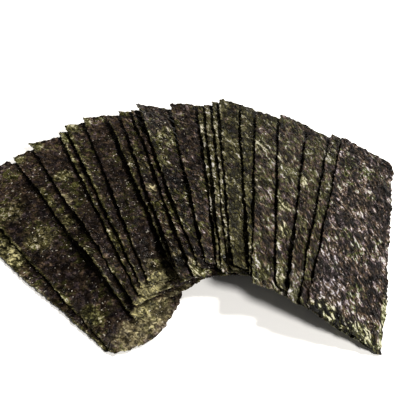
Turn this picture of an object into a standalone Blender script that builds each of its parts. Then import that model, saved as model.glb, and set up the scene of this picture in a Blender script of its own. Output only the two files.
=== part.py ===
"""A fan of roasted seaweed snack sheets, each lying on the sheet to its left.

Every sheet is a thin wavy leaf. The first one lies on the table. Each later one stands
on the table with its right edge and leans on the sheets before it, at the least tilt
that clears them, so that the sheets lie like fallen dominoes. Then its left side sags
into the room that is left under it.
"""
import math
import random

import bmesh
import bpy
from mathutils import Matrix, Vector
from mathutils.bvhtree import BVHTree

# Driving dimensions, in metres
SHEET_LENGTH = 0.105
SHEET_WIDTH = 0.035
SHEET_THICKNESS = 0.00035
REST_GAP = 0.00035          # left between a sheet and what carries it

# How the grid of one sheet is divided
CELLS_ACROSS = 6
CELLS_ALONG = 14
EDGE_RAGGEDNESS = 0.00045   # how far an edge point strays from the straight cut

# Near ends that bulge out past the straight cut: sheet number, and how far
BULGING_ENDS = {2: 0.0065}
BULGE_REACH = 0.022         # how far from the end the sheet is stretched for it
BULGE_LEAN = 0.75           # below one, the bulge is fuller towards the left

# Waves of a dried sheet: height, and length along and across
WAVES = (
    (0.00050, 0.046, 0.062),
    (0.00034, 0.027, 0.031),
    (0.00024, 0.019, 0.017),
)
CORNER_CURL = 0.0012        # most that a corner lifts or drops
CURL_REACH = 0.030          # how far from its corner a curl starts

# Where each sheet lies: its near left corner in millimetres, and how many degrees its
# far end leans to the left. The sheets are given from the lowest to the topmost.
FAN = (
    (-26.5, -76.5, 56), (-25, -77, 50), (-18.5, -66, 43), (-19, -62, 39), (-18, -59, 32),
    (-17.5, -55.5, 31), (-15.5, -53.5, 27), (-4.5, -53.5, 26), (-4, -53.5, 23),
    (0.5, -52.5, 22), (2.5, -49, 22), (5, -46, 14), (9.5, -48.5, 8), (11, -49, 7),
    (13, -48, 6), (14.5, -48.5, 5), (20.5, -51.5, 2), (21.5, -55, -2), (30, -54, -4),
    (33.5, -58.5, -10), (37.5, -60, -14), (40.5, -61, -15),
)
MILLIMETRE = 0.001

FIRST_SEED = 201            # the first sheet's waves, curls and ragged edges

# How a sheet sags onto the pile after it was leant there: its left edge the most
SAG_SHARE = 0.8             # how much of the room under it a sheet takes up
SAG_LIMIT = 0.006           # most that the left edge sinks
SAG_WIDTH = 0.026           # the strip along the left edge that sags
SAG_LOOK = 0.011            # a row looks this far to both sides for what holds it up
LEAST_SHARE = 0.01          # points that sag less than this share of the left edge are left out

# How a sheet is leant on the pile
LEAN_ROUNDS = 20
LEAN_TOLERANCE = 0.00003    # a sheet this much too low is taken as clear of the pile
START_TILT = math.radians(30)
EDGE_STRIP = 0.007          # a sheet is lifted, not tilted, off what lies under this strip
TABLE = SHEET_THICKNESS / 2  # height of a sheet's middle layer where it lies on the table
SAMPLE_STEP = 0.0015        # between the places where heights are compared
SKY = 0.2                   # a height above everything
DOWN = Vector((0, 0, -1))

# Colours, from the brown-black sheets to the greener ones
DARK_LAVER = (0.020, 0.017, 0.013)
GREEN_LAVER = (0.045, 0.048, 0.018)
LAVER_ROUGHNESS = 0.45


def clear_scene():
    for thing in list(bpy.data.objects):
        bpy.data.objects.remove(thing, do_unlink=True)


def laver_material(name, greenness):
    colour = Vector(DARK_LAVER).lerp(Vector(GREEN_LAVER), greenness)
    material = bpy.data.materials.new(name)
    material.use_nodes = True
    shader = material.node_tree.nodes["Principled BSDF"]
    shader.inputs["Base Color"].default_value = (*colour, 1)
    shader.inputs["Roughness"].default_value = LAVER_ROUGHNESS
    shader.inputs["Metallic"].default_value = 0
    return material


def wave_height(x, y, phases):
    height = 0
    for (size, long_way, cross_way), (along, across) in zip(WAVES, phases):
        height += size * math.sin(math.tau * y / long_way + along) * math.cos(
            math.tau * x / cross_way + across)
    return height


def corner_curl(x, y, lifts):
    height = 0
    for (side, end), lift in lifts.items():
        reach = math.hypot(x - side * SHEET_WIDTH, y - end * SHEET_LENGTH) / CURL_REACH
        height += lift * max(0, 1 - reach) ** 2
    return height


def end_bulge(x, y, bulge):
    across = min(max(x / SHEET_WIDTH, 0), 1) ** BULGE_LEAN
    return bulge * math.sin(math.pi * across) * max(0, 1 - y / BULGE_REACH)


def leaf_mesh(draw, bulge):
    """One wavy sheet, with its near left corner at the origin, split into triangles."""
    phases = [(draw.uniform(0, math.tau), draw.uniform(0, math.tau)) for _ in WAVES]
    lifts = {(side, end): draw.uniform(-1, 1) * CORNER_CURL
             for side in (0, 1) for end in (0, 1)}
    mesh = bmesh.new()
    bmesh.ops.create_grid(mesh, x_segments=CELLS_ACROSS, y_segments=CELLS_ALONG, size=0.5)
    bmesh.ops.translate(mesh, verts=mesh.verts, vec=(0.5, 0.5, 0))
    bmesh.ops.scale(mesh, verts=mesh.verts, vec=(SHEET_WIDTH, SHEET_LENGTH, 1))
    for point in mesh.verts:
        x, y = point.co.x, point.co.y
        point.co.z = wave_height(x, y, phases) + corner_curl(x, y, lifts)
        if point.is_boundary:
            point.co.x += draw.uniform(-1, 1) * EDGE_RAGGEDNESS
            point.co.y += draw.uniform(-1, 1) * EDGE_RAGGEDNESS
        point.co.y -= end_bulge(x, y, bulge)
    bmesh.ops.triangulate(mesh, faces=mesh.faces)
    return mesh


def laid_matrix(corner, turn, tilt, height):
    """Puts a sheet's near left corner over a place, its right edge the lower one."""
    spin = Matrix.Rotation(turn, 4, "Z") @ Matrix.Rotation(tilt, 4, "Y")
    return Matrix.Translation((*corner, height)) @ spin


def tree_of(mesh, matrix):
    corners = [matrix @ point.co for point in mesh.verts]
    faces = [[point.index for point in face.verts] for face in mesh.faces]
    return BVHTree.FromPolygons(corners, faces)


def height_at(tree, x, y):
    hit = tree.ray_cast(Vector((x, y, SKY)), DOWN)[0]
    return None if hit is None else hit.z


def sample_places(mesh, matrix, rims):
    """Plan positions where the sheet is compared with the pile under it."""
    across = round(SHEET_WIDTH / SAMPLE_STEP)
    along = round(SHEET_LENGTH / SAMPLE_STEP)
    places = [matrix @ Vector((SHEET_WIDTH * i / across, SHEET_LENGTH * j / along, 0))
              for i in range(across + 1) for j in range(along + 1)]
    places += [matrix @ point.co for point in mesh.verts]
    return places + rims


def rim_places(mesh, matrix):
    """Points all along a laid sheet's rim, which is where it pokes into the next one."""
    places = []
    for edge in mesh.edges:
        if edge.is_boundary:
            start, end = (matrix @ point.co for point in edge.verts)
            steps = math.ceil((end - start).length / SAMPLE_STEP)
            places += [start.lerp(end, i / steps) for i in range(steps)]
    return places


def shortfall(own, pile, place, clearance):
    """How far a sheet is too low at a place; nothing where it doesn't reach."""
    under_side = height_at(own, place.x, place.y)
    if under_side is None:
        return None
    tops = [height_at(tree, place.x, place.y) for tree in pile]
    floor = max([top + clearance for top in tops if top is not None] + [TABLE])
    return floor - under_side


def lean(mesh, corner, turn, pile, rims):
    """Lowers a sheet about its right edge, which stands on the table, onto the pile."""
    tilt = START_TILT
    height = SHEET_WIDTH * math.sin(tilt)
    lowest = None
    for _ in range(LEAN_ROUNDS):
        matrix = laid_matrix(corner, turn, tilt, height)
        own = tree_of(mesh, matrix)
        clearance = (SHEET_THICKNESS + REST_GAP) / math.cos(tilt)
        inward = (matrix.to_3x3() @ Vector((-1, 0, 0))).xy.normalized()
        right_edge = (matrix @ Vector((SHEET_WIDTH, 0, 0))).xy
        worst = -SKY
        steepenings = []
        lifts = []
        for place in sample_places(mesh, matrix, rims):
            missing = shortfall(own, pile, place, clearance)
            if missing is None:
                continue
            worst = max(worst, missing)
            reach = (place.xy - right_edge).dot(inward)
            if reach > EDGE_STRIP:
                steepenings.append(missing / reach)
            else:
                lifts.append(missing)
        middle = (matrix @ Vector((SHEET_WIDTH / 2, SHEET_LENGTH / 2, 0))).z
        if worst < LEAN_TOLERANCE and (lowest is None or middle < lowest[0]):
            lowest = middle, matrix
        right_height = height - SHEET_WIDTH * math.sin(tilt) + max(lifts)
        slope = math.tan(tilt) + max(steepenings) - max(lifts) / SHEET_WIDTH
        tilt = max(0, math.atan(slope))
        height = right_height + SHEET_WIDTH * math.sin(tilt)
    return lowest[1]


def sag_share(x):
    return max(0, 1 - x / SAG_WIDTH) ** 2


def room_under_rows(mesh, matrix, pile, rims):
    """How far each row's left end may sink before any point of that row touches the pile."""
    own = tree_of(mesh, matrix)
    clearance = (SHEET_THICKNESS + REST_GAP) / matrix.to_3x3().col[2].z
    to_sheet = matrix.inverted()
    rooms = [SAG_LIMIT] * (CELLS_ALONG + 1)
    for place in sample_places(mesh, matrix, rims):
        missing = shortfall(own, pile, place, clearance)
        if missing is None:
            continue
        spot = to_sheet @ Vector((place.x, place.y, height_at(own, place.x, place.y)))
        share = sag_share(spot.x)
        if share < LEAST_SHARE:
            continue
        for row in range(CELLS_ALONG + 1):
            if abs(spot.y - SHEET_LENGTH * row / CELLS_ALONG) < SAG_LOOK:
                rooms[row] = min(rooms[row], max(0, -missing) / share)
    return rooms


def sag(mesh, matrix, pile, rims):
    """Lets a leant sheet sink onto the pile along its left side, row by row."""
    rooms = room_under_rows(mesh, matrix, pile, rims)
    drop = matrix.to_3x3().inverted() @ DOWN
    for point in mesh.verts:
        place = point.co.y / SHEET_LENGTH * CELLS_ALONG
        row = min(max(int(place), 0), CELLS_ALONG - 1)
        part = min(max(place - row, 0), 1)
        room = rooms[row] * (1 - part) + rooms[row + 1] * part
        point.co += drop * room * SAG_SHARE * sag_share(point.co.x)


def make_sheet(index, spot, pile, rims, collection):
    draw = random.Random(FIRST_SEED + index)
    mesh = leaf_mesh(draw, BULGING_ENDS.get(index + 1, 0))
    x, y, turn = spot
    corner = (x * MILLIMETRE, y * MILLIMETRE)
    matrix = lean(mesh, corner, math.radians(turn), pile, rims)
    sag(mesh, matrix, pile, rims)
    pile.append(tree_of(mesh, matrix))
    rims.extend(rim_places(mesh, matrix))
    name = f"sheet_{index + 1:02d}"
    data = bpy.data.meshes.new(name)
    mesh.to_mesh(data)
    mesh.free()
    data.transform(matrix)
    sheet = bpy.data.objects.new(name, data)
    collection.objects.link(sheet)
    data.materials.append(laver_material(name, draw.random()))
    solid = sheet.modifiers.new("leaf thickness", "SOLIDIFY")
    solid.thickness = SHEET_THICKNESS
    solid.offset = 0
    data.shade_smooth()
    return sheet


def solid_points(sheet):
    solid = sheet.evaluated_get(bpy.context.evaluated_depsgraph_get())
    return [point.co.copy() for point in solid.data.vertices]


def centre_on_table(sheets):
    """Moves the fan so that its box stands on the table, with the origin under its middle."""
    points = [point for sheet in sheets for point in solid_points(sheet)]
    low = Vector([min(point[axis] for point in points) for axis in range(3)])
    high = Vector([max(point[axis] for point in points) for axis in range(3)])
    shift = Vector((-(low.x + high.x) / 2, -(low.y + high.y) / 2, -low.z))
    for sheet in sheets:
        sheet.data.transform(Matrix.Translation(shift))


def main():
    clear_scene()
    collection = bpy.data.collections.new("roasted seaweed snack")
    bpy.context.scene.collection.children.link(collection)
    pile = []
    rims = []
    sheets = []
    for index, spot in enumerate(FAN):
        sheets.append(make_sheet(index, spot, pile, rims, collection))
    centre_on_table(sheets)


main()
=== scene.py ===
import math

import bpy
from mathutils import Matrix, Vector, noise
from mathutils.kdtree import KDTree


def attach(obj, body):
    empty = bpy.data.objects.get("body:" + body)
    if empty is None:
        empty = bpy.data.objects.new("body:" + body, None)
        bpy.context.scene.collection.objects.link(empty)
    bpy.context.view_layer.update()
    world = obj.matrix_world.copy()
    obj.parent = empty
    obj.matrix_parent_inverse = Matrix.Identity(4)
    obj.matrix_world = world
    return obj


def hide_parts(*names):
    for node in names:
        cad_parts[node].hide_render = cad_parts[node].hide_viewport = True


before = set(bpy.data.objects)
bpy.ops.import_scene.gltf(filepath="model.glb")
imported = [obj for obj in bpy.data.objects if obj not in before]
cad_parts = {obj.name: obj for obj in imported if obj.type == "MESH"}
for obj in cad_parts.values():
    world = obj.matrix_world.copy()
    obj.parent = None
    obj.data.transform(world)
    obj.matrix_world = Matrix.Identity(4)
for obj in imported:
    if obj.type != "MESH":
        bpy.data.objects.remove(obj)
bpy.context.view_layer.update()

scene = bpy.context.scene
scene.view_settings.view_transform = "Standard"
sheetNames = sorted(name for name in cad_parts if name.startswith("sheet_"))
print("frame loaded,", len(sheetNames), "sheets")

cameraSet = {
    "target": (0.0080, 0.0062, 0.0),
    "distance": 0.2005,
    "elevation": 47.7,
    "roll": 5.2,
    "lens": 38.6,
    "clipStart": 0.005,
    "clipEnd": 20,
}


def addCamera(values):
    data = bpy.data.cameras.new("camera")
    data.lens = values["lens"]
    data.clip_start = values["clipStart"]
    data.clip_end = values["clipEnd"]
    camera = bpy.data.objects.new("camera", data)
    scene.collection.objects.link(camera)
    rise = math.radians(values["elevation"])
    back = Vector((0, -math.cos(rise), math.sin(rise)))
    turn = (-back).to_track_quat("-Z", "Y").to_matrix().to_4x4()
    place = Vector(values["target"]) + back * values["distance"]
    roll = Matrix.Rotation(math.radians(values["roll"]), 4, "Z")
    camera.matrix_world = Matrix.Translation(place) @ turn @ roll
    scene.camera = camera


addCamera(cameraSet)

studioSet = {
    "floorSize": 4.0,
    "floorColour": (0.94, 0.94, 0.93, 1),
    "floorRoughness": 0.9,
    "worldColour": (1.0, 0.97, 0.93, 1),
    "worldStrength": 0.13,
}

lampSet = {                    # "at" is only the way to a lamp, "away" is how far along it the lamp hangs
    "main": {"at": (0.48, 0.10, 0.86), "away": 0.9, "size": 0.12, "watts": 8.5,
             "colour": (1.0, 0.96, 0.9)},
    "front": {"at": (0.75, -0.57, 0.97), "away": 1.0, "size": 0.2, "watts": 10,
              "colour": (1.0, 0.97, 0.93)},
    "glint": {"at": (0.50, 0.72, 0.72), "away": 1.0, "size": 0.16, "watts": 2.0,
              "colour": (1.0, 0.98, 0.95)},
}


def addStudio(values):
    bpy.ops.mesh.primitive_plane_add(size=values["floorSize"])
    floor = bpy.context.object
    floor.name = "floor"
    paper = bpy.data.materials.new("floorPaper")
    paper.use_nodes = True
    shader = paper.node_tree.nodes["Principled BSDF"]
    shader.inputs["Base Color"].default_value = values["floorColour"]
    shader.inputs["Roughness"].default_value = values["floorRoughness"]
    floor.data.materials.append(paper)
    world = bpy.data.worlds.new("studio")
    world.use_nodes = True
    sky = world.node_tree.nodes["Background"]
    sky.inputs["Color"].default_value = values["worldColour"]
    sky.inputs["Strength"].default_value = values["worldStrength"]
    scene.world = world


def addLamp(name, values):
    data = bpy.data.lights.new(name, "AREA")
    data.shape = "DISK"
    data.size = values["size"]
    data.energy = values["watts"]
    data.color = values["colour"]
    lamp = bpy.data.objects.new(name, data)
    scene.collection.objects.link(lamp)
    toLamp = Vector(values["at"]).normalized()
    turn = toLamp.to_track_quat("Z", "Y").to_matrix().to_4x4()
    lamp.matrix_world = Matrix.Translation(toLamp * values["away"]) @ turn


addStudio(studioSet)
for lampName, lampValues in lampSet.items():
    addLamp(lampName, lampValues)
print("camera, floor and lights ready")


def newGroup(name, inputs, outputs):
    group = bpy.data.node_groups.new(name, "ShaderNodeTree")
    for label, kind in inputs:
        group.interface.new_socket(label, in_out="INPUT", socket_type="NodeSocket" + kind)
    for label, kind in outputs:
        group.interface.new_socket(label, in_out="OUTPUT", socket_type="NodeSocket" + kind)
    return group, group.nodes.new("NodeGroupInput").outputs, group.nodes.new("NodeGroupOutput").inputs


# links an output and sets anything else; a colour gets its fourth number here
def feed(tree, socket, value):
    if hasattr(value, "is_output"):
        tree.links.new(value, socket)
    elif isinstance(value, tuple) and socket.type == "RGBA":
        socket.default_value = (*value, 1)
    else:
        socket.default_value = value


def addNoise(tree, vector, scale, detail=2.0, rough=0.5, distortion=0.0):
    node = tree.nodes.new("ShaderNodeTexNoise")
    feed(tree, node.inputs["Vector"], vector)
    for label, value in (("Scale", scale), ("Detail", detail), ("Roughness", rough),
                         ("Distortion", distortion)):
        feed(tree, node.inputs[label], value)
    return node.outputs["Fac"]


def addMath(tree, operation, *values, clamp=False):
    node = tree.nodes.new("ShaderNodeMath")
    node.operation = operation
    node.use_clamp = clamp
    for socket, value in zip(node.inputs, values):
        feed(tree, socket, value)
    return node.outputs[0]


def addRange(tree, value, low, high, bottom=0.0, top=1.0):
    node = tree.nodes.new("ShaderNodeMapRange")
    node.interpolation_type = "SMOOTHSTEP"
    for label, limit in (("Value", value), ("From Min", low), ("From Max", high),
                         ("To Min", bottom), ("To Max", top)):
        feed(tree, node.inputs[label], limit)
    return node.outputs["Result"]


def addMix(tree, factor, first, second, blend="MIX"):
    node = tree.nodes.new("ShaderNodeMix")
    node.data_type = "RGBA"
    node.blend_type = blend
    feed(tree, node.inputs["Factor"], factor)
    feed(tree, node.inputs[6], first)
    feed(tree, node.inputs[7], second)
    return node.outputs[2]


def addJoin(tree, x, y, z):
    node = tree.nodes.new("ShaderNodeCombineXYZ")
    for socket, value in zip(node.inputs, (x, y, z)):
        feed(tree, socket, value)
    return node.outputs[0]


def addSplit(tree, vector):
    node = tree.nodes.new("ShaderNodeSeparateXYZ")
    feed(tree, node.inputs[0], vector)
    return node.outputs[0], node.outputs[1]


flakeAndGlintSet = {
    "plum": (1.48, 0.99, 0.62),    # tint of the thick brown-black parts
    "violet": (1.32, 0.95, 1.00),  # of those that turn purple
    "glintPale": (1.06, 1.02, 1.10),    # tint of the painted highlights on the flakes
    "sand": (1.15, 1.03, 0.49),    # of the thin yellowed ones
    "salt": (0.42, 0.39, 0.33),    # colour of the salt grains
    "brightest": 0.34,             # most that a flake's brightness, painted highlights included, reaches before its tint
    # noises: scale, detail, roughness and, where there is any, distortion
    "streaks": (660, 1.5, 0.5, 0.9),
    "lumps": (240, 3, 0.6, 0.3),
    "grit": (1500, 1, 0.5),
    "broad": (85, 3, 0.6),
    "hue": (480, 3, 0.65, 0.4),
    "purple": (410, 3, 0.65),
    "grains": (1150, 0.0, 0.5, 0.6),
    "oil": (190, 2, 0.5),
    # how much each noise counts in a flake's brightness of random tone and painted highlights, around their
    # middle
    "middle": 0.5,
    "streakShare": 0.5,
    "lumpShare": 0.3,
    "gritShare": 0.2,
    "broadShare": 0.25,
    # what the patches do to it
    "oliveContrast": 0.5,
    "oliveBoost": 1.8,
    # Tan patches: yellowed thin ends, brightened as painted light on the curved near ends
    "tanAndLightBoost": 7.0,
    # Pale patches are a painted sheen: brighter, whiter flakes
    "paleSheenBoost": 1.1,
    # Dark patches: darker tone, and painted shade along a crease
    "darkAndShadeDrop": -0.9,
    # where purple and green begin, and how softly
    "purpleRange": (0.46, 0.60),
    "greenStart": 0.62,
    "greenGain": -0.26,
    "greenSoft": 0.07,
    "greenBroad": 0.45,
    "greenHue": 0.55,
    # how the painted highlights on bright flakes turn pale, less so on the patches
    "whitenRange": (0.04, 0.2, 0.0, 0.8),
    "patchWhiten": -0.55,
    "paleSheenWhiten": 0.35,
    # salt grains, fainter where the broad noise is low
    "saltStart": 0.80,
    "saltGain": -0.08,
    "saltSoft": 0.05,
    "saltBroad": (0.42, 0.6, 0.35, 1.0),
    "streakHeight": 0.7,
    "gritHeight": 0.3,
    "oilRange": (0.4, 0.62),
}


def makeFlakesAndGlints(values):
    floats = ("Turn", "Stretch", "Depth", "Contrast", "Green", "Salt", "Olive", "TanAndLight", "DarkAndShade", "PaleSheen", "FarSheenAndTone")
    group, given, result = newGroup(
        "laverFlakesAndGlints",
        [("Leaf", "Vector")] + [(label, "Float") for label in floats] + [("Moss", "Color")],
        [("Colour", "Color"), ("Height", "Float"), ("Gloss", "Float")])
    leaf = given["Leaf"]
    turned = group.nodes.new("ShaderNodeMapping")
    turned.vector_type = "TEXTURE"
    feed(group, turned.inputs["Vector"], leaf)
    feed(group, turned.inputs["Rotation"], addJoin(group, 0.0, 0.0, given["Turn"]))
    feed(group, turned.inputs["Scale"], addJoin(group, given["Stretch"], 1.0, 1.0))
    streaks = addNoise(group, turned.outputs["Vector"], *values["streaks"])
    lumps = addNoise(group, leaf, *values["lumps"])
    grit = addNoise(group, leaf, *values["grit"])
    broad = addNoise(group, leaf, *values["broad"])

    # how bright each flake is: random tone, with painted highlights in the streaks, which run across the
    # light
    field = addMath(group, "MULTIPLY", lumps, values["lumpShare"])
    field = addMath(group, "MULTIPLY_ADD", streaks, values["streakShare"], field)
    field = addMath(group, "MULTIPLY_ADD", grit, values["gritShare"], field)
    swell = addMath(group, "SUBTRACT", broad, values["middle"])
    field = addMath(group, "MULTIPLY_ADD", swell, values["broadShare"], field)
    power = addMath(group, "SUBTRACT", field, values["middle"])
    power = addMath(group, "MULTIPLY", power, given["Contrast"])
    steeper = addMath(group, "MULTIPLY_ADD", given["Olive"], values["oliveContrast"], 1.0)
    power = addMath(group, "MULTIPLY", power, steeper)
    # Tan patches brighten yellowed ends as painted light on the curved near ends
    boost = addMath(group, "MULTIPLY_ADD", given["TanAndLight"], values["tanAndLightBoost"], 1.0)
    boost = addMath(group, "MULTIPLY_ADD", given["Olive"], values["oliveBoost"], boost)
    # painted sheen on the Pale patches
    boost = addMath(group, "MULTIPLY_ADD", given["PaleSheen"], values["paleSheenBoost"], boost)
    flakeAndGlintLevel = addMath(group, "MULTIPLY", addMath(group, "EXPONENT", power), given["Depth"])
    flakeAndGlintLevel = addMath(group, "MULTIPLY", flakeAndGlintLevel, addMath(group, "ADD", given["FarSheenAndTone"], 1.0))
    flakeAndGlintLevel = addMath(group, "MINIMUM", addMath(group, "MULTIPLY", flakeAndGlintLevel, boost), values["brightest"])
    # Dark patches darken: darker tone, and painted shade in a crease on sheet 22
    darkenAndShade = addMath(group, "MULTIPLY_ADD", given["DarkAndShade"], values["darkAndShadeDrop"], 1.0)
    flakeAndGlintLevel = addMath(group, "MULTIPLY", flakeAndGlintLevel, darkenAndShade)

    # its tint: plum or violet, then green, then the pale tint of the painted highlights, or sand
    hue = addNoise(group, leaf, *values["hue"])
    purple = addRange(group, addNoise(group, leaf, *values["purple"]), *values["purpleRange"])
    tint = addMix(group, purple, values["plum"], values["violet"])
    greenLow = addMath(group, "MULTIPLY_ADD", given["Green"], values["greenGain"], values["greenStart"])
    greenHigh = addMath(group, "ADD", greenLow, values["greenSoft"])
    greenField = addMath(group, "MULTIPLY", hue, values["greenHue"])
    greenField = addMath(group, "MULTIPLY_ADD", broad, values["greenBroad"], greenField)
    greenMask = addRange(group, greenField, greenLow, greenHigh)
    greenMask = addMath(group, "MAXIMUM", greenMask, given["Olive"])
    tint = addMix(group, greenMask, tint, given["Moss"])
    patch = addMath(group, "MAXIMUM", given["Olive"], given["TanAndLight"])
    whiten = addMath(group, "MULTIPLY_ADD", patch, values["patchWhiten"], 1.0)
    whiten = addMath(group, "MULTIPLY", whiten, addRange(group, flakeAndGlintLevel, *values["whitenRange"]))
    whiten = addMath(group, "MULTIPLY_ADD", given["PaleSheen"], values["paleSheenWhiten"], whiten, clamp=True)
    tint = addMix(group, whiten, tint, values["glintPale"])
    tint = addMix(group, given["TanAndLight"], tint, values["sand"])
    colour = addMix(group, 1.0, tint, addJoin(group, flakeAndGlintLevel, flakeAndGlintLevel, flakeAndGlintLevel), "MULTIPLY")

    # salt grains over it
    saltLow = addMath(group, "MULTIPLY_ADD", given["Salt"], values["saltGain"], values["saltStart"])
    saltHigh = addMath(group, "ADD", saltLow, values["saltSoft"])
    saltMask = addRange(group, addNoise(group, leaf, *values["grains"]), saltLow, saltHigh)
    saltMask = addMath(group, "MULTIPLY", saltMask, addRange(group, broad, *values["saltBroad"]))
    colour = addMix(group, saltMask, colour, values["salt"])
    feed(group, result["Colour"], colour)
    height = addMath(group, "MULTIPLY", grit, values["gritHeight"])
    feed(group, result["Height"], addMath(group, "MULTIPLY_ADD", streaks, values["streakHeight"], height))
    gloss = addRange(group, addNoise(group, leaf, *values["oil"]), *values["oilRange"])
    feed(group, result["Gloss"], gloss)
    return group


patchSet = {
    "noise": (210, 3, 0.6),        # frays a patch's edge
    "fray": 1.6,
    "frayShift": -0.8,             # takes off its middle value, so that it frays both ways
    "outer": 1.15,                 # a patch has faded out here, as a share of its reach
    "inner": 0.55,                 # and is full from here inwards
}


def makePatch(values):
    group, given, result = newGroup(
        "laverPatch", [("Leaf", "Vector"), ("Centre", "Vector"), ("Reach", "Vector"), ("Share", "Float")],
        [("Mask", "Float")])
    x, y = addSplit(group, given["Leaf"])
    centreX, centreY = addSplit(group, given["Centre"])
    reachX, reachY = addSplit(group, given["Reach"])
    fromX = addMath(group, "DIVIDE", addMath(group, "SUBTRACT", x, centreX), reachX)
    fromY = addMath(group, "DIVIDE", addMath(group, "SUBTRACT", y, centreY), reachY)
    square = addMath(group, "MULTIPLY_ADD", fromX, fromX, addMath(group, "POWER", fromY, 2.0))
    away = addMath(group, "SQRT", square)
    wobble = addNoise(group, given["Leaf"], *values["noise"])
    wobble = addMath(group, "MULTIPLY_ADD", wobble, values["fray"], values["frayShift"])
    mask = addRange(group, addMath(group, "ADD", away, wobble), values["outer"], values["inner"])
    feed(group, result["Mask"], addMath(group, "MULTIPLY", mask, given["Share"]))
    return group


flakeAndGlintGroup = makeFlakesAndGlints(flakeAndGlintSet)
patchGroup = makePatch(patchSet)
print("flake and patch groups ready")

laverSet = {
    "roughDry": 0.42,
    "roughOily": 0.24,
    "bumpDistance": 0.0008,
    "bumpStrength": 0.8,
    "specular": 0.065,
    "litEdgeWidth": 0.0014,           # the olive strip along a sheet's left edge, brightened as a painted highlight on the cut edge
    "farSheenFrom": 0.080,              # where the far end's change of tone starts: a painted sheen on the left sheets, darker on the right
    "farSheenTo": 0.103,                # and where it is complete
}

# what differs from one part of the fan to another: first the inputs of the flake group, then the
# turn of the painted highlight streaks, the olive edge with its painted edge highlight, the tone of the far
# end (a painted sheen on the left sheets, darker on the right) and the lift of the left edge
looks = {
    "left": {"Stretch": 1.2, "Depth": 0.0076, "Contrast": 14.0, "Green": 0.4, "Salt": 0.45,
             "Moss": (1.10, 1.06, 0.32, 1), "turn": -70, "edge": 0.9, "far": 1.2, "curl": 0.0012},
    "middle": {"Stretch": 1.7, "Depth": 0.0083, "Contrast": 20.5, "Green": 0.5, "Salt": 0.25,
               "Moss": (1.10, 1.06, 0.32, 1), "turn": -65, "edge": 0.7, "far": 0.4, "curl": 0.0008},
    "olive": {"Stretch": 1.6, "Depth": 0.0152, "Contrast": 19.0, "Green": 0.85, "Salt": 0.1,
              "Moss": (1.16, 1.06, 0.42, 1), "turn": -62, "edge": 0.4, "far": 0.0, "curl": 0.0003},
    "right": {"Stretch": 2.0, "Depth": 0.0152, "Contrast": 20.0, "Green": 0.6, "Salt": 0.0,
              "Moss": (1.09, 1.06, 0.40, 1), "turn": -58, "edge": 0.3, "far": -0.3, "curl": 0.0002},
    "top": {"Stretch": 1.8, "Depth": 0.0110, "Contrast": 29.0, "Green": 0.38, "Salt": 0.0,
            "Moss": (0.94, 1.07, 0.26, 1), "turn": -45, "edge": 0.0, "far": -0.5, "curl": 0.0},
}

lookOfSheet = ["left"] * 8 + ["middle"] * 4 + ["olive"] * 5 + ["right"] * 4 + ["top"]

# single sheets that depart from their look
toneOfSheet = {1: 1.2, 9: 0.85, 11: 0.65, 14: 1.7, 15: 1.35, 16: 0.72, 17: 0.6, 21: 0.9}
curlOfSheet = {8: 0.35}        # share of the lift
taperOfSheet = {20: 0.0010, 21: 0.0018, 22: 0.0030}  # how much narrower the far end is cut

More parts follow.
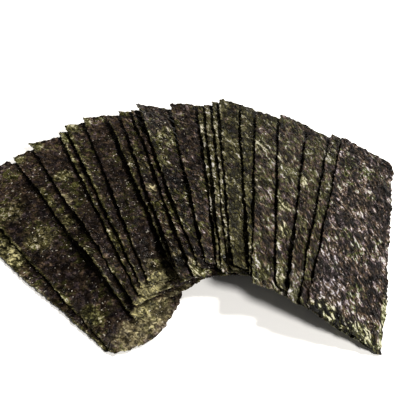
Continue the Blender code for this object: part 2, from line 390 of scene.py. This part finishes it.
# of each patch: kind, middle across and along the sheet, reach both ways in millimetres, share
patches = {
    1: [("Olive", 4, 61, 6, 14, 1.0), ("TanAndLight", 4, 61, 5, 10, 0.7)],
    2: [("Olive", 7, 79, 8, 6, 0.6), ("Olive", 9, 58, 8, 6.5, 0.7), ("Olive", 4, 16, 4, 7, 0.9),
        ("TanAndLight", 9, 0, 9, 7, 0.7), ("TanAndLight", 20, 0, 12, 6, 0.8)],
    3: [("Olive", 2, 72, 3, 9, 0.9), ("Olive", 3, 55, 4, 4, 0.8), ("TanAndLight", 5, 1, 8, 5, 1.0),
        ("TanAndLight", 18, 0, 14, 4, 0.8), ("Olive", 2, 103, 4, 4, 0.9)],
    4: [("TanAndLight", 1, 61, 3, 5, 0.7), ("Olive", 6, 76, 6, 4, 0.8), ("TanAndLight", 5, 0, 9, 3.5, 1.0),
        ("Olive", 2.5, 102, 5.5, 6, 1.0)],
    5: [("TanAndLight", 1, 69, 1.6, 1.8, 1.0), ("Olive", 3, 25, 4, 5, 0.9), ("TanAndLight", 5, 0, 9, 3.5, 1.0),
        ("Olive", 2.5, 100, 5.5, 8, 1.0), ("TanAndLight", 2, 103, 3, 3, 0.15)],
    6: [("TanAndLight", 5, 0, 12, 3.5, 1.0), ("Olive", 2, 102, 5, 6, 0.85)],
    7: [("TanAndLight", 6, 1, 9, 4, 1.0), ("Olive", 6, 7, 7, 5, 0.6), ("Olive", 2, 102, 4, 5, 0.85)],
    8: [("Olive", 4, 2, 8, 5, 0.6), ("Olive", 3, 70, 3, 7, 0.6)],
    9: [("TanAndLight", 4, 48, 2.5, 4, 0.7), ("Olive", 5, 63, 4, 5, 0.6), ("Olive", 3, 10, 5, 5, 0.6)],
    10: [("Olive", 4, 4, 6, 5, 0.7)],
    11: [("Olive", 10, 80, 6, 8, 0.6)],
    13: [("Olive", 2, 84, 4, 8, 0.5)],
    15: [("Olive", 3, 82, 4, 8, 0.6)],
    17: [("Olive", 1, 20, 4, 14, 0.5)],
    18: [("Olive", 3, 78, 5, 6, 0.6), ("Olive", 1, 52, 4, 7, 0.6), ("Olive", 9, 1, 13, 4, 0.4)],
    19: [("Olive", 3, 40, 4, 5, 0.9), ("Olive", 4, 27, 3.5, 4, 0.9), ("Olive", 4, 70, 4, 4, 0.5),
         ("Olive", 3, 2, 6, 5, 0.8)],
    # the Pale patches of sheets 20 and 22 are a painted sheen
    20: [("Olive", 2, 63, 3, 4, 0.8), ("PaleSheen", 4, 6, 8, 12, 0.5)],
    21: [("Olive", 22, 0, 14, 5, 1.0)],
    22: [("Olive", 9, 2, 9, 6, 0.75), ("Olive", 26, 2, 10, 6, 0.75), ("Olive", 35, 14, 2.2, 15, 0.8),
         # the narrow Dark patch of sheet 22 is painted shade in a crease, its other Dark patches a darker
         # tone
         ("PaleSheen", 7, 17, 10, 14, 0.6), ("DarkAndShade", 13, 3, 1.3, 5, 1.0), ("DarkAndShade", 15, 88, 6, 4, 0.6),
         ("DarkAndShade", 29, 75, 6, 6, 0.6), ("DarkAndShade", 26, 23, 7, 6, 0.6)],
}


def addPatches(tree, leaf, kind, spots):
    total = None
    for name, x, y, reachX, reachY, share in spots:
        if name != kind:
            continue
        patch = tree.nodes.new("ShaderNodeGroup")
        patch.node_tree = patchGroup
        feed(tree, patch.inputs["Leaf"], leaf)
        patch.inputs["Centre"].default_value = (x / 1000, y / 1000, 0)
        patch.inputs["Reach"].default_value = (reachX / 1000, reachY / 1000, 1)
        patch.inputs["Share"].default_value = share
        mask = patch.outputs["Mask"]
        total = mask if total is None else addMath(tree, "MAXIMUM", total, mask)
    return total


def laverMaterial(name, look, tone, spots, values):
    material = bpy.data.materials.new(name)
    material.use_nodes = True
    tree = material.node_tree
    shader = tree.nodes["Principled BSDF"]
    place = tree.nodes.new("ShaderNodeAttribute")
    place.attribute_name = "leafPlace"
    leaf = place.outputs["Vector"]
    flakesAndGlints = tree.nodes.new("ShaderNodeGroup")
    flakesAndGlints.node_tree = flakeAndGlintGroup
    feed(tree, flakesAndGlints.inputs["Leaf"], leaf)
    flakesAndGlints.inputs["Turn"].default_value = math.radians(look["turn"])
    for label in ("Stretch", "Contrast", "Green", "Salt", "Moss"):
        flakesAndGlints.inputs[label].default_value = look[label]
    flakesAndGlints.inputs["Depth"].default_value = look["Depth"] * tone
    across, along = addSplit(tree, leaf)
    # far end: painted sheen on the left sheets, darker towards the far end on the right ones
    far = addRange(tree, along, values["farSheenFrom"], values["farSheenTo"], 0.0, look["far"])
    feed(tree, flakesAndGlints.inputs["FarSheenAndTone"], far)
    # olive strip along the left edge, brighter as a painted highlight on the cut edge
    edge = addRange(tree, across, values["litEdgeWidth"], 0.0, 0.0, look["edge"])
    olive = addPatches(tree, leaf, "Olive", spots)
    feed(tree, flakesAndGlints.inputs["Olive"], edge if olive is None else addMath(tree, "MAXIMUM", olive, edge))
    for kind in ("TanAndLight", "DarkAndShade", "PaleSheen"):
        mask = addPatches(tree, leaf, kind, spots)
        if mask is not None:
            feed(tree, flakesAndGlints.inputs[kind], mask)
    feed(tree, shader.inputs["Base Color"], flakesAndGlints.outputs["Colour"])
    rough = addRange(tree, flakesAndGlints.outputs["Gloss"], 0.0, 1.0, values["roughDry"], values["roughOily"])
    feed(tree, shader.inputs["Roughness"], rough)
    bump = tree.nodes.new("ShaderNodeBump")
    bump.inputs["Strength"].default_value = values["bumpStrength"]
    bump.inputs["Distance"].default_value = values["bumpDistance"]
    feed(tree, bump.inputs["Height"], flakesAndGlints.outputs["Height"])
    feed(tree, shader.inputs["Normal"], bump.outputs["Normal"])
    shader.inputs["Specular IOR Level"].default_value = values["specular"]
    return material


leafSet = {
    "topFacing": 0.62,         # faces that point up more than this are a sheet's upper side
    "merge": 0.00001,
    "levels": 2,
    "cuts": 2,
    "thickness": 0.00028,
    "crumple": 0.00030,
    "crumpleSize": 0.0040,
    "pucker": 0.00094,
    "puckerSize": (0.0048, 0.0019, 0.0019),
    "rimReach": 0.0020,        # how far from the rim its fraying fades out
    "fray": 0.0019,
    "fraySize": 0.0016,
    "corner": 0.0014,          # radius of most corners
    "topCorner": 0.0048,       # and of the topmost sheet's far right one
    "cornerLimit": 1.2,        # beyond this many radii the rounding grows no further
    "layerStep": 0.07,         # between one sheet's pattern and the next one's
    "curlReach": 0.0050,       # how far the lifted left edge reaches into the sheet
    "curlStart": 0.030,        # the lift grows along this much of the edge
    "curlSway": 45.0,          # how fast it changes along the edge
    "curlSwing": 0.6,          # and how much
    "curlSpread": 3.7,         # between one sheet's sway and the next one's
    "curlSlice": 0.5,
}


def pickOnly(thing):
    bpy.ops.object.select_all(action="DESELECT")
    thing.select_set(True)
    bpy.context.view_layer.objects.active = thing


def applyModifier(thing, kind, **settings):
    modifier = thing.modifiers.new(kind.lower(), kind)
    for key, value in settings.items():
        setattr(modifier, key, value)
    bpy.ops.object.modifier_apply(modifier=modifier.name)


def reliefTexture(name, kind, size, **settings):
    texture = bpy.data.textures.new(name, kind)
    texture.noise_scale = size
    for key, value in settings.items():
        setattr(texture, key, value)
    return texture


crumpleTexture = reliefTexture("crumple", "MUSGRAVE", leafSet["crumpleSize"],
                               musgrave_type="RIDGED_MULTIFRACTAL")
puckerTexture = reliefTexture("pucker", "CLOUDS", 1.0, noise_depth=1)
frayTextures = [reliefTexture("fray" + axis, "CLOUDS", leafSet["fraySize"], noise_basis=basis)
                for axis, basis in (("X", "ORIGINAL_PERLIN"), ("Y", "IMPROVED_PERLIN"))]
puckerGuide = bpy.data.objects.new("puckerGuide", None)  # turns and stretches the puckers, removed later
scene.collection.objects.link(puckerGuide)


def upperSide(node, name, values):
    leaf = bpy.data.objects.new(name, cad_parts[node].data.copy())
    leaf.data.materials.clear()
    scene.collection.objects.link(leaf)
    pickOnly(leaf)
    bpy.ops.object.mode_set(mode="EDIT")
    bpy.ops.mesh.select_all(action="SELECT")
    bpy.ops.mesh.remove_doubles(threshold=values["merge"])
    bpy.ops.mesh.select_mode(type="FACE")
    bpy.ops.mesh.select_all(action="DESELECT")
    bpy.ops.object.mode_set(mode="OBJECT")
    for face in leaf.data.polygons:
        face.select = face.normal.z < values["topFacing"]
    bpy.ops.object.mode_set(mode="EDIT")
    bpy.ops.mesh.delete(type="FACE")
    bpy.ops.mesh.select_all(action="SELECT")
    bpy.ops.mesh.tris_convert_to_quads(face_threshold=math.pi, shape_threshold=math.pi)  # at any angle
    bpy.ops.object.mode_set(mode="OBJECT")
    return leaf


# the sheet's near left corner, the ways across and along it, and how far it goes both ways
def leafAxes(leaf):
    uses = [0] * len(leaf.data.vertices)
    for face in leaf.data.polygons:
        for index in face.vertices:
            uses[index] += 1
    corners = [leaf.data.vertices[i].co.copy() for i, count in enumerate(uses) if count == 1]
    nearRight, nearLeft = sorted(sorted(corners, key=lambda c: c.y)[:2], key=lambda c: -c.x)
    farLeft = max(corners, key=lambda c: (c - nearRight).length)
    across, along = nearRight - nearLeft, farLeft - nearLeft
    return nearLeft, across.normalized(), along.normalized(), across.length, along.length


def leafPlaces(leaf, corner, across, along):
    offsets = [point.co - corner for point in leaf.data.vertices]
    return [(offset.dot(across), offset.dot(along)) for offset in offsets]


def writePlaces(leaf, places, layer):
    attribute = leaf.data.attributes.new("leafPlace", "FLOAT_VECTOR", "POINT")
    attribute.data.foreach_set("vector", [part for x, y in places for part in (x, y, layer)])


def roundCorner(leaf, places, across, along, centre, signs, radius, limit):
    for point, (x, y) in zip(leaf.data.vertices, places):
        u = (x - centre[0]) * signs[0] / radius
        v = (y - centre[1]) * signs[1] / radius
        if u > 0 and v > 0:
            u, v = min(u, limit), min(v, limit)
            pullX = u * (math.sqrt(max(0, 1 - v * v / 2)) - 1) * radius * signs[0]
            pullY = v * (math.sqrt(max(0, 1 - u * u / 2)) - 1) * radius * signs[1]
            point.co += across * pullX + along * pullY


def roundCorners(leaf, places, across, along, width, length, radii, limit):
    for (right, far), radius in radii.items():
        centre = (width - radius if right else radius, length - radius if far else radius)
        signs = (1 if right else -1, 1 if far else -1)
        roundCorner(leaf, places, across, along, centre, signs, radius, limit)


def taperLeaf(leaf, places, across, width, length, taper):
    for point, (x, y) in zip(leaf.data.vertices, places):
        point.co += across * (taper * (1 - x / width) * y / length)


def curlEdge(leaf, places, number, height, values):
    for point, (x, y) in zip(leaf.data.vertices, places):
        fade = min(1.0, 1 - x / values["curlReach"])
        if fade > 0:
            grown = min(max(y / values["curlStart"], 0.0), 1.0)
            spot = Vector((y * values["curlSway"], number * values["curlSpread"], values["curlSlice"]))
            sway = noise.noise(spot)
            point.co.z += height * fade ** 2 * grown * (1 + values["curlSwing"] * sway)


def markRim(leaf, values):
    rim = leaf.vertex_groups.new(name="rim")
    pickOnly(leaf)
    bpy.ops.object.mode_set(mode="EDIT")
    bpy.ops.mesh.select_mode(type="VERT")
    bpy.ops.mesh.select_all(action="DESELECT")
    bpy.ops.mesh.select_non_manifold()
    bpy.ops.object.mode_set(mode="OBJECT")
    tree = KDTree(len(leaf.data.vertices))
    for point in leaf.data.vertices:
        if point.select:
            tree.insert(point.co, point.index)
    tree.balance()
    for point in leaf.data.vertices:
        weight = 1 - tree.find(point.co)[2] / values["rimReach"]
        if weight > 0:
            rim.add([point.index], weight, "REPLACE")


def makeLeaf(node, values):
    number = int(node[-2:])
    look = looks[lookOfSheet[number - 1]]
    leaf = upperSide(node, node.replace("sheet", "laver"), values)
    corner, across, along, width, length = leafAxes(leaf)
    applyModifier(leaf, "SUBSURF", levels=values["levels"], render_levels=values["levels"],
                  boundary_smooth="PRESERVE_CORNERS")
    bpy.ops.object.mode_set(mode="EDIT")
    bpy.ops.mesh.select_all(action="SELECT")
    bpy.ops.mesh.subdivide(number_cuts=values["cuts"])
    bpy.ops.object.mode_set(mode="OBJECT")
    places = leafPlaces(leaf, corner, across, along)
    writePlaces(leaf, places, number * values["layerStep"])
    radii = {(right, far): values["corner"] for right in (False, True) for far in (False, True)}
    if number == len(sheetNames):
        radii[True, True] = values["topCorner"]
    roundCorners(leaf, places, across, along, width, length, radii, values["cornerLimit"])
    taperLeaf(leaf, places, across, width, length, taperOfSheet.get(number, 0.0))
    curlEdge(leaf, places, number, look["curl"] * curlOfSheet.get(number, 1.0), values)
    markRim(leaf, values)
    puckerGuide.scale = values["puckerSize"]
    puckerGuide.rotation_euler.z = math.atan2(across.y, across.x) + math.radians(look["turn"])
    bpy.context.view_layer.update()
    applyModifier(leaf, "DISPLACE", texture=crumpleTexture, strength=values["crumple"], mid_level=0.5)
    applyModifier(leaf, "DISPLACE", texture=puckerTexture, strength=values["pucker"], mid_level=0.5,
                  texture_coords="OBJECT", texture_coords_object=puckerGuide)
    for axis, texture in zip("XY", frayTextures):
        applyModifier(leaf, "DISPLACE", texture=texture, strength=values["fray"], mid_level=0.5,
                      direction=axis, vertex_group="rim")
    applyModifier(leaf, "SOLIDIFY", thickness=values["thickness"], offset=-1.0)
    bpy.ops.object.shade_smooth()
    tone = toneOfSheet.get(number, 1.0)
    leaf.data.materials.append(laverMaterial(leaf.name, look, tone, patches.get(number, []), laverSet))
    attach(leaf, "root")
    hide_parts(node)


for sheetName in sheetNames:
    makeLeaf(sheetName, leafSet)
bpy.data.objects.remove(puckerGuide)
print("sheets made")
